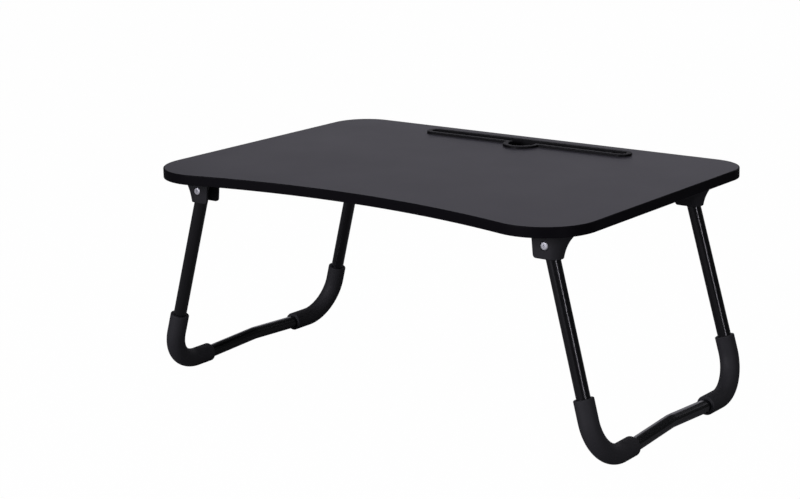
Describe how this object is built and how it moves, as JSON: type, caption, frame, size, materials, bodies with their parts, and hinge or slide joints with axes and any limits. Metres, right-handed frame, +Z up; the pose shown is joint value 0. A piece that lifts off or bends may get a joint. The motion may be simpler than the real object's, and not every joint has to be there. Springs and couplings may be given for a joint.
{
  "type": "laptop tray desk",
  "caption": "Low tray desk with a scooped front edge, a raised tablet slot strip and U-shaped tube legs that fold flat under the tray.",
  "frame": {"origin": "floor, under the middle of the tray", "axes": "+X to the user's right along the tray's length, +Y away from the user towards the tablet slot, +Z up"},
  "size_m": [0.6516, 0.421, 0.2775],
  "materials": {
    "fibreboard": "raw fibreboard",
    "top_sheet": "satin dark grey",
    "underside_sheet": "matte black",
    "edge_strip": "satin black",
    "strip_plastic": "satin black",
    "bracket_plastic": "fine moulded texture",
    "leg_paint": "semi-gloss black powder coat",
    "sleeve_rubber": "matte black",
    "plug_plastic": "matte black",
    "bright_steel": "bright zinc",
    "nut_steel": "zinc",
    "wood_screw_steel": "black oxide"
  },
  "bodies": {
    "tabletop": {"tabletop_core": "fibreboard", "top_laminate": "top_sheet", "underside_laminate": "underside_sheet", "edge_band": "edge_strip", "tablet_slot_strip": "strip_plastic", "bracket_screws": "wood_screw_steel", "left_front_bracket": "bracket_plastic", "left_front_pivot_screw": "bright_steel", "left_front_lock_nut": "nut_steel", "left_rear_bracket": "bracket_plastic", "left_rear_pivot_screw": "bright_steel", "left_rear_lock_nut": "nut_steel", "right_front_bracket": "bracket_plastic", "right_front_pivot_screw": "bright_steel", "right_front_lock_nut": "nut_steel", "right_rear_bracket": "bracket_plastic", "right_rear_pivot_screw": "bright_steel", "right_rear_lock_nut": "nut_steel"},
    "left_leg": {"left_leg_tube": "leg_paint", "left_front_foot_sleeve": "sleeve_rubber", "left_front_tube_end_plug": "plug_plastic", "left_rear_foot_sleeve": "sleeve_rubber", "left_rear_tube_end_plug": "plug_plastic"},
    "right_leg": {"right_leg_tube": "leg_paint", "right_front_foot_sleeve": "sleeve_rubber", "right_front_tube_end_plug": "plug_plastic", "right_rear_foot_sleeve": "sleeve_rubber", "right_rear_tube_end_plug": "plug_plastic"}
  },
  "joints": [
    {"name": "left_leg_fold", "type": "hinge", "parent": "tabletop", "child": "left_leg", "pos_m": [-0.2495, -0.0039, 0.2449], "axis": [0, -1, 0], "range_deg": [0, 105.5]},
    {"name": "right_leg_fold", "type": "hinge", "parent": "tabletop", "child": "right_leg", "pos_m": [0.2495, -0.0039, 0.2449], "axis": [0, 1, 0], "range_deg": [0, 100.5]}
  ]
}
